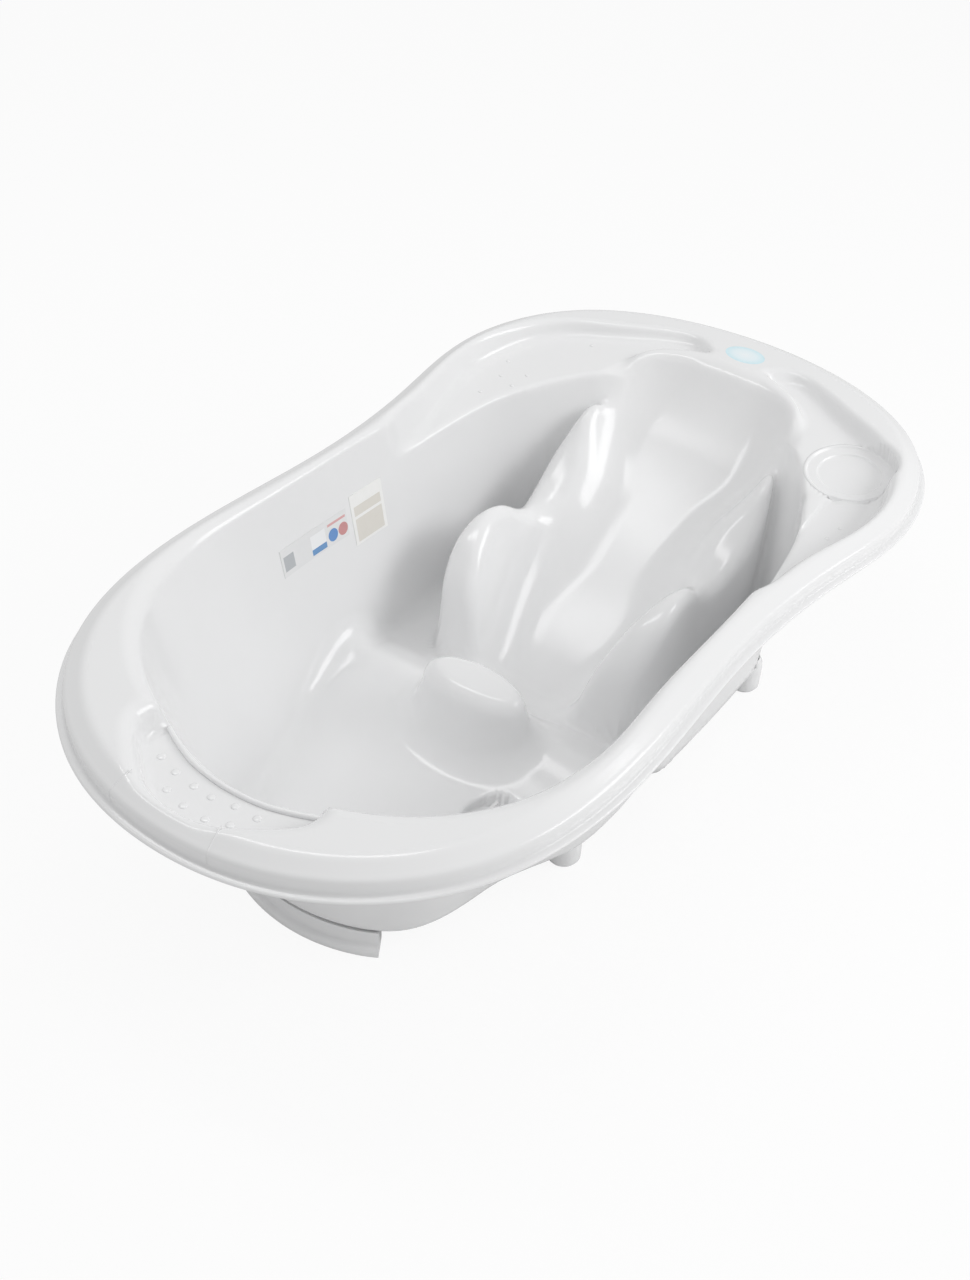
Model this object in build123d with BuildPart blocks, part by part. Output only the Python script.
from build123d import *
from math import cos, hypot, radians, sin, tan
import os

os.makedirs("parts", exist_ok=True)

# A one-piece moulded baby bath with a built-in reclining cradle, its drain fitting and stickers.
# Frame: origin on the ground under the middle of the tub, +X towards the head end,
# +Y towards the wall that carries the stickers, +Z up.  All sizes are in millimetres.

# ------------------------------------------------------------------ rim and overall size
LENGTH = 920.0  # over the lip
HEIGHT = 237.0  # ground to the top of the rim
HEAD_WIDTH = 520.0  # over the lip, at the head lobe
FOOT_WIDTH = 484.0  # over the lip, at the foot lobe
WAIST_WIDTH = 470.0  # over the lip, at the waist
HEAD_LOBE_X = 250.0
FOOT_LOBE_X = -210.0
WAIST_X = -20.0
WALL = 2.5  # moulded wall thickness
RIM_DROP = 25.0  # rim top to the underside of the lip
RIM_SLOPE_RUN = 19.0  # the rim's outer face slopes this far out ...
RIM_SLOPE_FALL = 11.0  # ... while it falls this much
RIM_BAND = 29.0  # lip to the inner edge of the rim, at the sides
LIP_REACH = 7.0
LIP_THICK = 3.0

# ------------------------------------------------------------------ bath well
FLOOR_Z = 20.0  # top face of the bath floor
WALL_LEAN = 42.0  # the side wall comes in this far from rim to floor
FOOT_LEAN = 66.0  # the same at the foot end
FLOOR_ROUND = 16.0
WELL_END_X = 323.0  # where the well closes behind the cradle, at the rim
WELL_END_LEAN = 73.0

# ------------------------------------------------------------------ side shelves and cup seat
SHELF_X = 110.0  # the shelves start here ...
SHELF_Z = 200.0  # ... at this height ...
SHELF_RISE = 5.0  # ... and climb this many degrees towards the head
SHELF_DRAFT = 11.0
CUP_X = 296.0
CUP_Y = -176.0
CUP_RADIUS = 33.0
CUP_DEPTH = 3.0

# ------------------------------------------------------------------ grip tray at the foot end
TRAY_Z = 210.0
TRAY_BACK = 24.0  # lip to the outer edge of the tray
TRAY_HALF = 88.0
TRAY_DRAFT = 6.0
BEAD_RADIUS = 3.5
BEAD_HALF = 74.0

# ------------------------------------------------------------------ reclining cradle
SEAT_X = 66.0  # where the seat turns up into the backrest
SEAT_Z = 22.0
BACK_Z = 118.0  # backrest height at mid back ...
BACK_X = 241.0  # ... and where that is
DISH_BACK = 89.0  # lip to the top edge of the backrest dish
ARM_X = 105.0
ARM_Z = 151.0  # top of the arm bolsters
ELBOW_X = 162.0
ELBOW_Z = 120.0  # notch between the bolster and the side ridge
SHOULDER_X = 288.0
SHOULDER_Z = 217.0
CRADLE_FRONT_X = -4.0
CRADLE_HALF = 126.0  # half width at the floor
CRADLE_DRAFT = 16.0
DISH_HALF = 58.0  # half width of the dish's bed at mid back
DISH_FLARE = 48.0  # the dish opens this much from floor level to rim level, each side

# ------------------------------------------------------------------ cross dam and crotch hump
DAM_X = -40.0
DAM_Z = 54.0
DAM_TOE = 118.0  # crest to the toe, towards the foot end
DAM_HEEL = 42.0  # crest to the seat
HUMP_X = -62.0
HUMP_Z = 101.0
HUMP_LONG = 50.0  # half length of the top pad, across the tub
HUMP_SHORT = 22.0
HUMP_FLARE = 26.0  # how much wider the hump is at the floor

# ------------------------------------------------------------------ feet
PLINTH_HALF = 80.0
PLINTH_PROUD = 9.0
PLINTH_HEIGHT = 9.0
PAD_RADIUS = 16.0
PAD_HEIGHT = 44.0
FOOT_PAD_X = -113.0
FOOT_PAD_Y = 140.0
HEAD_PAD_X = 197.0
HEAD_PAD_Y = 151.0

# ------------------------------------------------------------------ drain fitting
DRAIN_X = -142.0
DRAIN_Y = -80.0
SUMP_RADIUS = 29.0
DRAIN_BORE = 13.5  # inside radius of the outlet tube
DRAIN_TUBE = 16.5  # outside radius of the outlet tube
FLANGE_RADIUS = 24.5
FLANGE_THICK = 2.5
GASKET_THICK = 2.0
NUT_THICK = 6.0
NUT_RADIUS = 23.0
NUT_LUGS = 8
LUG_RADIUS = 3.5
DRAIN_END = 2.0  # the tube shows this much below the nut
PLUG_CAP_RADIUS = 19.0
PLUG_CAP_THICK = 3.0
PLUG_DEPTH = 11.0
GROOVE_DEPTH = 2.0
SEAL_WIRE = 1.0
TAB_WIDTH = 18.0
TAB_THICK = 3.0
TAB_HEIGHT = 23.0

# ------------------------------------------------------------------ stickers
BADGE_BACK = 59.0  # lip to the middle of the badge
BADGE_LONG = 29.0
BADGE_SHORT = 21.0
BADGE_THICK = 0.9
CARE_X = 12.0
CARE_Z = 161.0
CARE_WIDTH = 46.0
CARE_HEIGHT = 53.0
STRIP_X = -64.0
STRIP_Z = 165.0
STRIP_WIDTH = 92.0
STRIP_HEIGHT = 28.0
FILM_THICK = 0.3

FIT = 0.3  # clearance between separate pieces
GLUE = 0.1  # adhesive under a sticker

FOOT_X = -LENGTH / 2
HEAD_X = LENGTH / 2
INNER_FOOT = FOOT_WIDTH / 2 - RIM_BAND
INNER_WAIST = WAIST_WIDTH / 2 - RIM_BAND
INNER_HEAD = HEAD_WIDTH / 2 - RIM_BAND
FLOOR_UNDER = FLOOR_Z - WALL

# Half outlines run from the foot end to the head end on the +Y side.
LIP = [
    (FOOT_X, 0),
    (FOOT_X + 22, 105),
    (FOOT_X + 108, FOOT_WIDTH / 2 - 39),
    (FOOT_LOBE_X, FOOT_WIDTH / 2),
    (WAIST_X, WAIST_WIDTH / 2),
    (HEAD_LOBE_X - 128, HEAD_WIDTH / 2 - 15),
    (HEAD_LOBE_X, HEAD_WIDTH / 2),
    (HEAD_X - 82, HEAD_WIDTH / 2 - 49),
    (HEAD_X - 17, 108),
    (HEAD_X, 0),
]
WELL_TOP = [
    (FOOT_X + 74, 0),
    (FOOT_X + 90, 74),
    (FOOT_X + 130, 145),
    (FOOT_LOBE_X - 42, INNER_FOOT - 12),
    (FOOT_LOBE_X - 6, INNER_FOOT - 3),
    (FOOT_LOBE_X + 30, INNER_FOOT),
    (FOOT_LOBE_X + 90, INNER_FOOT - 4),
    (WAIST_X, INNER_WAIST),
    (SHELF_X, INNER_WAIST - 8),
    (WELL_END_X - 158, INNER_WAIST - 18),
    (WELL_END_X - 112, INNER_WAIST - 31),
    (WELL_END_X - 70, INNER_WAIST - 51),
    (WELL_END_X - 33, INNER_WAIST - 73),
    (WELL_END_X - 9, 108),
    (WELL_END_X, 0),
]
WELL_FLOOR = [
    (FOOT_X + 74 + FOOT_LEAN, 0),
    (FOOT_X + 86 + FOOT_LEAN, 60),
    (FOOT_X + 110 + FOOT_LEAN, 95),
    (FOOT_LOBE_X - 30, INNER_FOOT - WALL_LEAN - 58),
    (FOOT_LOBE_X + 15, INNER_FOOT - WALL_LEAN - 49),
    (FOOT_LOBE_X + 60, INNER_FOOT - WALL_LEAN - 28),
    (FOOT_LOBE_X + 110, INNER_FOOT - WALL_LEAN - 9),
    (WAIST_X, INNER_WAIST - WALL_LEAN),
    (SHELF_X, INNER_WAIST - WALL_LEAN - 1),
    (WELL_END_X - 158, INNER_WAIST - WALL_LEAN - 2),
    (WELL_END_X - 55 - WELL_END_LEAN, INNER_WAIST - WALL_LEAN - 6),
    (WELL_END_X - 36 - WELL_END_LEAN, INNER_WAIST - WALL_LEAN - 18),
    (WELL_END_X - 22 - WELL_END_LEAN, INNER_WAIST - WALL_LEAN - 32),
    (WELL_END_X - 6 - WELL_END_LEAN, 85),
    (WELL_END_X - WELL_END_LEAN, 0),
]
SHELF_TOP = [
    (0, 0),
    (6, 110),
    (26, INNER_WAIST - 24),
    (SHELF_X - 44, INNER_WAIST + 3),
    (SHELF_X, INNER_WAIST + 9),
    (HEAD_LOBE_X - 64, INNER_HEAD + 1),
    (HEAD_LOBE_X - 6, INNER_HEAD + 4),
    (HEAD_LOBE_X + 44, INNER_HEAD - 10),
    (HEAD_X - 118, INNER_HEAD - 43),
    (HEAD_X - 92, INNER_HEAD - 86),
    (HEAD_X - 64, 92),
    (HEAD_X - 54, 46),
    (HEAD_X - 70, 0),
]
TRAY_TOP = [
    (FOOT_X + TRAY_BACK, 0),
    (FOOT_X + TRAY_BACK + 7, TRAY_HALF - 52),
    (FOOT_X + TRAY_BACK + 27, TRAY_HALF - 23),
    (FOOT_X + TRAY_BACK + 54, TRAY_HALF),
    (FOOT_X + TRAY_BACK + 80, TRAY_HALF - 6),
    (FOOT_X + TRAY_BACK + 100, TRAY_HALF - 40),
    (FOOT_X + TRAY_BACK + 106, 0),
]
CRADLE = [
    (CRADLE_FRONT_X, 0),
    (CRADLE_FRONT_X + 7, 72),
    (CRADLE_FRONT_X + 30, CRADLE_HALF - 10),
    (ARM_X, CRADLE_HALF + 1),
    (ELBOW_X, CRADLE_HALF - 3),
    (SHOULDER_X - 60, CRADLE_HALF + 5),
    (SHOULDER_X - 26, CRADLE_HALF + 1),
    (SHOULDER_X, CRADLE_HALF - 8),
    (SHOULDER_X + 24, CRADLE_HALF - 15),
    (SHOULDER_X + 54, CRADLE_HALF - 14),
    (HEAD_X - 92, 96),
    (HEAD_X - 76, 72),
    (HEAD_X - 66, 50),
    (HEAD_X - 52, 0),
]
CRADLE_SIDE = [
    (CRADLE_FRONT_X, FLOOR_Z - 24),
    (CRADLE_FRONT_X + 22, FLOOR_Z + 24),
    (CRADLE_FRONT_X + 34, FLOOR_Z + 72),
    (ARM_X - 58, ARM_Z - 26),
    (ARM_X - 30, ARM_Z - 5),
    (ARM_X, ARM_Z),
    (ELBOW_X - 26, ELBOW_Z + 10),
    (ELBOW_X, ELBOW_Z),
    (ELBOW_X + 33, ELBOW_Z + 4),
    (SHOULDER_X - 48, SHOULDER_Z - 58),
    (SHOULDER_X - 10, SHOULDER_Z - 14),
    (SHOULDER_X + 22, SHOULDER_Z + 8),
    (HEAD_X - 100, HEIGHT),
    (HEAD_X - 40, HEIGHT + 8),
]
DISH = [
    (HUMP_X + 2, 0),
    (HUMP_X + 16, DISH_HALF - 16),
    (0, DISH_HALF - 6),
    (SEAT_X - 20, DISH_HALF),
    (ARM_X - 15, DISH_HALF + 9),
    (ARM_X + 30, DISH_HALF + 11),
    (ELBOW_X, DISH_HALF + 3),
    (ELBOW_X + 20, DISH_HALF - 9),
    (BACK_X - 37, DISH_HALF - 17),
    (BACK_X - 13, DISH_HALF - 17),
    (BACK_X + 9, DISH_HALF - 11),
    (BACK_X + 26, DISH_HALF - 2),
    (SHOULDER_X - 5, DISH_HALF + 4),
    (SHOULDER_X + 18, DISH_HALF + 3),
    (HEAD_X - 120, DISH_HALF - 10),
    (HEAD_X - 98, DISH_HALF - 28),
    (HEAD_X - 60, 0),
]
DISH_SIDE = [
    (SEAT_X, SEAT_Z),
    (SEAT_X + 84, SEAT_Z + 42),
    (BACK_X, BACK_Z),
    (BACK_X + 59, BACK_Z + 46),
    (HEAD_X - DISH_BACK - 25, HEIGHT - 34),
    (HEAD_X - DISH_BACK, HEIGHT),
    (HEAD_X + 20, HEIGHT + 40),
]
DAM_SIDE = [
    (DAM_X - DAM_TOE, FLOOR_Z),
    (DAM_X - DAM_TOE + 36, FLOOR_Z + 5),
    (DAM_X - 38, DAM_Z - 9),
    (DAM_X, DAM_Z),
    (DAM_X + 22, DAM_Z - 13),
    (DAM_X + DAM_HEEL + 5, SEAT_Z - 5),
]


def moved_out(points, distance):
    """The points moved to the left of their way by a distance, each along its own normal."""
    ends_mirrored = points[0][1] == 0 and points[-1][1] == 0
    result = []
    for i, (x, y) in enumerate(points):
        before = points[max(i - 1, 0)]
        after = points[min(i + 1, len(points) - 1)]
        if ends_mirrored and i == 0:
            before = (after[0], -after[1])
        if ends_mirrored and i == len(points) - 1:
            after = (before[0], -before[1])
        run = hypot(after[0] - before[0], after[1] - before[1])
        nx = -(after[1] - before[1]) / run
        ny = (after[0] - before[0]) / run
        result.append((x + nx * distance, y + ny * distance))
    return result


def between(first, second, share):
    """Points a share of the way from one outline's points to the other's."""
    return [
        (a[0] + (b[0] - a[0]) * share, a[1] + (b[1] - a[1]) * share)
        for a, b in zip(first, second)
    ]


def outline(points):
    """A closed smooth face through a half outline and its mirror image."""
    with BuildSketch() as face:
        with BuildLine():
            Spline(*points, *[(x, -y) for x, y in reversed(points[1:-1])], periodic=True)
        make_face()
    return face.sketch


def facets(points):
    """A closed face with straight sides through a half outline and its mirror image."""
    with BuildSketch() as face:
        with BuildLine():
            Polyline(*points, *[(x, -y) for x, y in reversed(points[1:-1])], close=True)
        make_face()
    return face.sketch


def well(grow):
    """The bath well, from its rounded floor to above the rim."""
    height = HEIGHT - FLOOR_Z
    with BuildPart() as solid:
        for turn in (0, 30, 60, 90):
            rise = FLOOR_ROUND * (1 - cos(radians(turn)))
            inset = FLOOR_ROUND * (1 - sin(radians(turn)))
            level = between(WELL_FLOOR, WELL_TOP, rise / height)
            with BuildSketch(Plane.XY.offset(FLOOR_Z + rise - grow)):
                add(facets(moved_out(level, grow - inset)))
        with BuildSketch(Plane.XY.offset(HEIGHT)):
            add(facets(moved_out(WELL_TOP, grow)))
        loft(ruled=True)
    return solid.part


def shelf_recess(grow):
    """The sunken shelves that run round the head end, inside the rim."""
    tilt = radians(SHELF_RISE)
    floor_plane = Plane(
        origin=(SHELF_X, 0, SHELF_Z - grow),
        x_dir=(cos(tilt), 0, sin(tilt)),
        z_dir=(-sin(tilt), 0, cos(tilt)),
    )
    floor = [((x - SHELF_X) / cos(tilt), y) for x, y in moved_out(SHELF_TOP, grow - SHELF_DRAFT)]
    with BuildPart() as solid:
        with BuildSketch(floor_plane):
            add(facets(floor))
        with BuildSketch(Plane.XY.offset(HEIGHT)):
            add(facets(moved_out(SHELF_TOP, grow)))
        loft(ruled=True)
    return solid.part


def tray_recess(grow):
    """The sunken grip tray at the foot end."""
    with BuildPart() as solid:
        with BuildSketch(Plane.XY.offset(TRAY_Z - grow)):
            add(facets(moved_out(TRAY_TOP, grow - TRAY_DRAFT)))
        with BuildSketch(Plane.XY.offset(HEIGHT)):
            add(facets(moved_out(TRAY_TOP, grow)))
        loft(ruled=True)
    return solid.part


def side_profile(points, level):
    """A face in the side view: straight facets through the points, closed at a level."""
    with BuildSketch() as face:
        with BuildLine():
            Polyline(*points, (points[-1][0], level), (points[0][0], level), close=True)
        make_face()
    return face.sketch


def cradle_block(shrink):
    """The cradle's raised mass: arm bolsters, side ridges and shoulders."""
    with BuildPart() as solid:
        with BuildSketch(Plane.XY.offset(FLOOR_Z - 40)):
            add(facets(moved_out(CRADLE, -shrink)))
        with BuildSketch(Plane.XY.offset(HEIGHT + 20)):
            add(facets(moved_out(CRADLE, -shrink - CRADLE_DRAFT)))
        loft(ruled=True)
        with BuildSketch(Plane.XZ):
            add(side_profile(moved_out(CRADLE_SIDE, -shrink), FLOOR_Z - 50))
        extrude(amount=HEAD_WIDTH, both=True, mode=Mode.INTERSECT)
    return solid.part


def cradle_dish(grow):
    """The hollow that the child lies in: a smooth bed with flaring sides."""
    with BuildPart() as solid:
        with BuildSketch(Plane.XY.offset(SEAT_Z - grow)):
            add(facets(moved_out(DISH, grow)))
        with BuildSketch(Plane.XY.offset(HEIGHT)):
            add(facets(moved_out(DISH, grow + DISH_FLARE)))
        loft(ruled=True)
        with BuildSketch(Plane.XZ):
            add(side_profile(moved_out(DISH_SIDE, -grow), FLOOR_Z - 50))
        extrude(amount=HEAD_WIDTH, both=True, mode=Mode.SUBTRACT)
    return solid.part


def cross_dam(shrink):
    """The low ridge across the well, between the seat and the foot well."""
    with BuildPart() as solid:
        with BuildSketch(Plane.XZ):
            add(side_profile(moved_out(DAM_SIDE, -shrink), FLOOR_Z - 50))
        extrude(amount=INNER_FOOT, both=True)
    return solid.part


def crotch_hump(shrink):
    """The hump that stops the child from sliding down, with its long pad on top."""
    height = HUMP_Z - FLOOR_Z
    with BuildPart() as solid:
        for share, spread in ((-0.4, 1.5), (0, 1.0), (0.4, 0.42), (0.75, 0.16), (0.94, -0.02)):
            reach = HUMP_FLARE * spread - shrink
            with BuildSketch(Plane.XY.offset(FLOOR_Z + height * share - shrink)):
                with Locations((HUMP_X, 0)):
                    Ellipse(HUMP_SHORT + reach, HUMP_LONG + reach)
        with BuildSketch(Plane.XY.offset(HUMP_Z - shrink)):
            with Locations((HUMP_X, 0)):
                Ellipse(HUMP_SHORT - 7 - shrink, HUMP_LONG - 7 - shrink)
        loft(ruled=True)
    return solid.part


def cup_seat(grow):
    """The round seat for a beaker in the near shelf."""
    floor_z = SHELF_Z + (CUP_X - SHELF_X) * tan(radians(SHELF_RISE)) - CUP_DEPTH
    with BuildPart() as solid:
        with BuildSketch(Plane.XY.offset(floor_z - grow)):
            with Locations((CUP_X, CUP_Y)):
                Circle(CUP_RADIUS + grow)
        extrude(amount=HEIGHT - floor_z)
    return solid.part


def sump(grow):
    """The flat round pit in the dam's toe, where the outlet sits."""
    with BuildPart() as solid:
        with BuildSketch(Plane.XY.offset(FLOOR_Z - grow)):
            with Locations((DRAIN_X, DRAIN_Y)):
                Circle(SUMP_RADIUS + grow)
        extrude(amount=DAM_Z)
    return solid.part


def hollow(grow):
    """All the room inside the tub, or with a wall's growth the tub's outside below the rim."""
    with BuildPart() as solid:
        add(well(grow))
        add(shelf_recess(grow))
        add(tray_recess(grow))
        add(cradle_block(grow), mode=Mode.SUBTRACT)
        add(cradle_dish(grow))
        add(cross_dam(grow), mode=Mode.SUBTRACT)
        add(crotch_hump(grow), mode=Mode.SUBTRACT)
        add(cup_seat(grow))
        add(sump(grow))
    return solid.part


def rim_form(inset, drop):
    """The rim's sloping outside, or with a wall's inset the room under it."""
    with BuildPart() as solid:
        with BuildSketch(Plane.XY.offset(HEIGHT - RIM_DROP)):
            add(outline(moved_out(LIP, -LIP_REACH - inset)))
        extrude(amount=RIM_DROP - drop)
        top = solid.faces().sort_by(Axis.Z)[-1]
        chamfer(top.edges(), length=RIM_SLOPE_RUN, length2=RIM_SLOPE_FALL, reference=top)
    return solid.part


outside = hollow(WALL)
inside = hollow(0)
rim_outside = rim_form(0, 0)
rim_inside = rim_form(WALL, WALL)
badge_x = HEAD_X - BADGE_BACK

# ------------------------------------------------------------------ the moulded tub
with BuildPart() as tub_shell:
    # rim: rounded top, vertical skirt and outward lip, hollow from below
    add(rim_outside)
    with BuildSketch(Plane.XY.offset(HEIGHT - RIM_DROP)):
        add(outline(LIP))
    extrude(amount=LIP_THICK)
    add(rim_inside, mode=Mode.SUBTRACT)
    add(outside)
    # plinth under the foot end: a ledge that follows the wall, cut off square at both ends
    with BuildSketch():
        add(facets(moved_out(WELL_FLOOR, PLINTH_PROUD)))
        add(facets(moved_out(WELL_FLOOR, -FLOOR_ROUND)), mode=Mode.SUBTRACT)
        with Locations((FOOT_X + FOOT_LEAN + 120, 0)):
            Rectangle(120, 2 * PLINTH_HALF, mode=Mode.INTERSECT)
    extrude(amount=PLINTH_HEIGHT)
    with BuildSketch():
        add(facets(moved_out(WELL_FLOOR, -FLOOR_ROUND / 2)))
        add(facets(moved_out(WELL_FLOOR, -FLOOR_ROUND)), mode=Mode.SUBTRACT)
        with Locations((FOOT_X + FOOT_LEAN + 120, 0)):
            Rectangle(120, 2 * PLINTH_HALF, mode=Mode.INTERSECT)
    extrude(amount=FLOOR_Z)
    # four rounded side feet that run up into the walls
    with BuildSketch():
        with Locations(
            (FOOT_PAD_X, FOOT_PAD_Y),
            (FOOT_PAD_X, -FOOT_PAD_Y),
            (HEAD_PAD_X, HEAD_PAD_Y),
            (HEAD_PAD_X, -HEAD_PAD_Y),
        ):
            Circle(PAD_RADIUS)
    extrude(amount=PAD_HEIGHT)
    add(inside, mode=Mode.SUBTRACT)
    # bead along the inner edge of the grip tray
    with BuildLine():
        bead_path = Spline(
            (FOOT_X + 95, -BEAD_HALF, TRAY_Z),
            (FOOT_X + 82, 0, TRAY_Z),
            (FOOT_X + 95, BEAD_HALF, TRAY_Z),
        )
    with BuildSketch(Plane(origin=bead_path @ 0, z_dir=bead_path % 0)):
        Circle(BEAD_RADIUS)
    sweep()
    # bores for the outlet and shallow seat for the badge
    with BuildSketch(Plane.XY.offset(FLOOR_UNDER - 1)):
        with Locations((DRAIN_X, DRAIN_Y)):
            Circle(DRAIN_TUBE + FIT)
    extrude(amount=WALL + 2, mode=Mode.SUBTRACT)
    with BuildSketch(Plane.XY.offset(HEIGHT)):
        with Locations((badge_x, 0)):
            Ellipse(BADGE_SHORT + FIT, BADGE_LONG + FIT)
    extrude(amount=-BADGE_THICK, mode=Mode.SUBTRACT)
tub_shell.part.label = "tub_shell"
export_step(tub_shell.part, "parts/tub_shell.step")

# ------------------------------------------------------------------ drain fitting
gasket_z = FLOOR_UNDER - GASKET_THICK
nut_z = gasket_z - NUT_THICK
tube_z = nut_z - DRAIN_END
flange_z = FLOOR_Z + FLANGE_THICK
drain_at = Plane(origin=(DRAIN_X, DRAIN_Y, 0))

with BuildPart() as drain_body:
    with BuildSketch(drain_at.offset(FLOOR_Z)):
        Circle(FLANGE_RADIUS)
    extrude(amount=FLANGE_THICK)
    fillet(drain_body.edges().group_by(Axis.Z)[-1], radius=FLANGE_THICK / 2)
    with BuildSketch(drain_at.offset(tube_z)):
        Circle(DRAIN_TUBE)
    extrude(amount=FLOOR_Z - tube_z)
    with BuildSketch(drain_at.offset(tube_z - 1)):
        Circle(DRAIN_BORE)
    extrude(amount=flange_z - tube_z + 2, mode=Mode.SUBTRACT)
drain_body.part.label = "drain_body"
export_step(drain_body.part, "parts/drain_body.step")

with BuildPart() as drain_gasket:
    with BuildSketch(drain_at.offset(gasket_z)):
        Circle(NUT_RADIUS)
        Circle(DRAIN_TUBE + FIT, mode=Mode.SUBTRACT)
    extrude(amount=GASKET_THICK)
drain_gasket.part.label = "drain_gasket"
export_step(drain_gasket.part, "parts/drain_gasket.step")

with BuildPart() as drain_nut:
    with BuildSketch(drain_at.offset(nut_z)):
        Circle(NUT_RADIUS)
        with PolarLocations(NUT_RADIUS, NUT_LUGS):
            Circle(LUG_RADIUS)
        Circle(DRAIN_TUBE + FIT / 2, mode=Mode.SUBTRACT)
    extrude(amount=NUT_THICK)
    chamfer(drain_nut.edges().group_by(Axis.Z)[0].filter_by(GeomType.CIRCLE), length=0.6)
drain_nut.part.label = "drain_nut"
export_step(drain_nut.part, "parts/drain_nut.step")

# ------------------------------------------------------------------ stopper
cap_z = flange_z + PLUG_CAP_THICK
groove_z = flange_z - PLUG_DEPTH / 2
stem_radius = DRAIN_BORE - FIT
seal_middle = stem_radius - GROOVE_DEPTH + SEAL_WIRE

with BuildPart() as drain_plug:
    with BuildSketch(drain_at.offset(flange_z)):
        Circle(PLUG_CAP_RADIUS)
    extrude(amount=PLUG_CAP_THICK)
    fillet(drain_plug.edges().group_by(Axis.Z)[-1], radius=PLUG_CAP_THICK * 0.45)
    with BuildSketch(drain_at.offset(flange_z)):
        Circle(stem_radius)
    extrude(amount=-PLUG_DEPTH)
    chamfer(drain_plug.edges().group_by(Axis.Z)[0], length=1.2)
    # groove for the seal
    with BuildSketch(drain_at.offset(groove_z - SEAL_WIRE)):
        Circle(stem_radius + 1)
        Circle(stem_radius - GROOVE_DEPTH, mode=Mode.SUBTRACT)
    extrude(amount=2 * SEAL_WIRE, mode=Mode.SUBTRACT)
    # pull tab, rounded at the corners
    with BuildSketch(Plane(origin=(DRAIN_X, DRAIN_Y, cap_z), x_dir=(1, 0, 0), z_dir=(0, -1, 0))):
        with Locations((0, TAB_HEIGHT / 2 - 0.5)):
            RectangleRounded(TAB_WIDTH, TAB_HEIGHT + 1, radius=2.5)
    extrude(amount=TAB_THICK / 2, both=True)
drain_plug.part.label = "drain_plug"
export_step(drain_plug.part, "parts/drain_plug.step")

with BuildPart() as plug_seal:
    with BuildSketch(Plane(origin=(DRAIN_X, DRAIN_Y, groove_z), x_dir=(1, 0, 0), z_dir=(0, -1, 0))):
        with Locations((seal_middle, 0)):
            Circle(SEAL_WIRE)
    revolve(axis=Axis((DRAIN_X, DRAIN_Y, 0), (0, 0, 1)))
plug_seal.part.label = "plug_seal"
export_step(plug_seal.part, "parts/plug_seal.step")

# ------------------------------------------------------------------ stickers
with BuildPart() as oval_badge:
    with BuildSketch(Plane.XY.offset(HEIGHT - BADGE_THICK)):
        with Locations((badge_x, 0)):
            Ellipse(BADGE_SHORT, BADGE_LONG)
    extrude(amount=BADGE_THICK)
oval_badge.part.label = "oval_badge"
export_step(oval_badge.part, "parts/oval_badge.step")

film_back = well(-GLUE)
film_face = well(-GLUE - FILM_THICK)

with BuildPart() as care_label:
    with BuildSketch(Plane.XZ.offset(-INNER_FOOT / 2)):
        with Locations((CARE_X, CARE_Z)):
            Rectangle(CARE_WIDTH, CARE_HEIGHT)
    extrude(amount=-INNER_FOOT)
    add(film_back, mode=Mode.INTERSECT)
    add(film_face, mode=Mode.SUBTRACT)
care_label.part.label = "care_label"
export_step(care_label.part, "parts/care_label.step")

with BuildPart() as info_strip:
    with BuildSketch(Plane.XZ.offset(-INNER_FOOT / 2)):
        with Locations((STRIP_X, STRIP_Z)):
            Rectangle(STRIP_WIDTH, STRIP_HEIGHT)
    extrude(amount=-INNER_FOOT)
    add(film_back, mode=Mode.INTERSECT)
    add(film_face, mode=Mode.SUBTRACT)
info_strip.part.label = "info_strip"
export_step(info_strip.part, "parts/info_strip.step")
